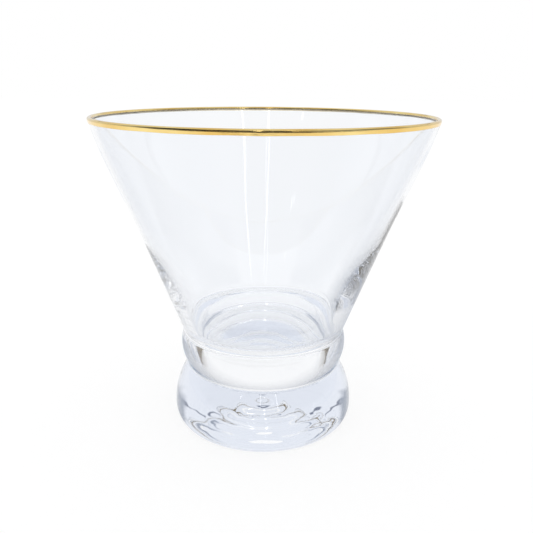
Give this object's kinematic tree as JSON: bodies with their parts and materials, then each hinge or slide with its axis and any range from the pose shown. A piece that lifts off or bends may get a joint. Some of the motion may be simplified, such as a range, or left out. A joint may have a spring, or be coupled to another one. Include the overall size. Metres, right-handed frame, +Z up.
{
  "type": "martini glass",
  "caption": "Stemless martini glass: a thin conical bowl on a rounded collar and a heavy solid foot, with a fired gold band over the lip.",
  "frame": {"origin": "where the glass's axis meets the surface that it stands on", "axes": "+Z up along the axis of the glass; the glass is round, so X and Y are free"},
  "size_m": [0.1122, 0.1122, 0.1071],
  "materials": {
    "clear_glass": "clear soda-lime glass, fire-polished, smooth inside and out",
    "fired_gold": "bright fired gold lustre, mirror-like, brushed on by hand"
  },
  "bodies": {
    "root": {"bowl": "clear_glass", "collar": "clear_glass", "foot": "clear_glass", "gold_rim": "fired_gold"}
  },
  "joints": []
}
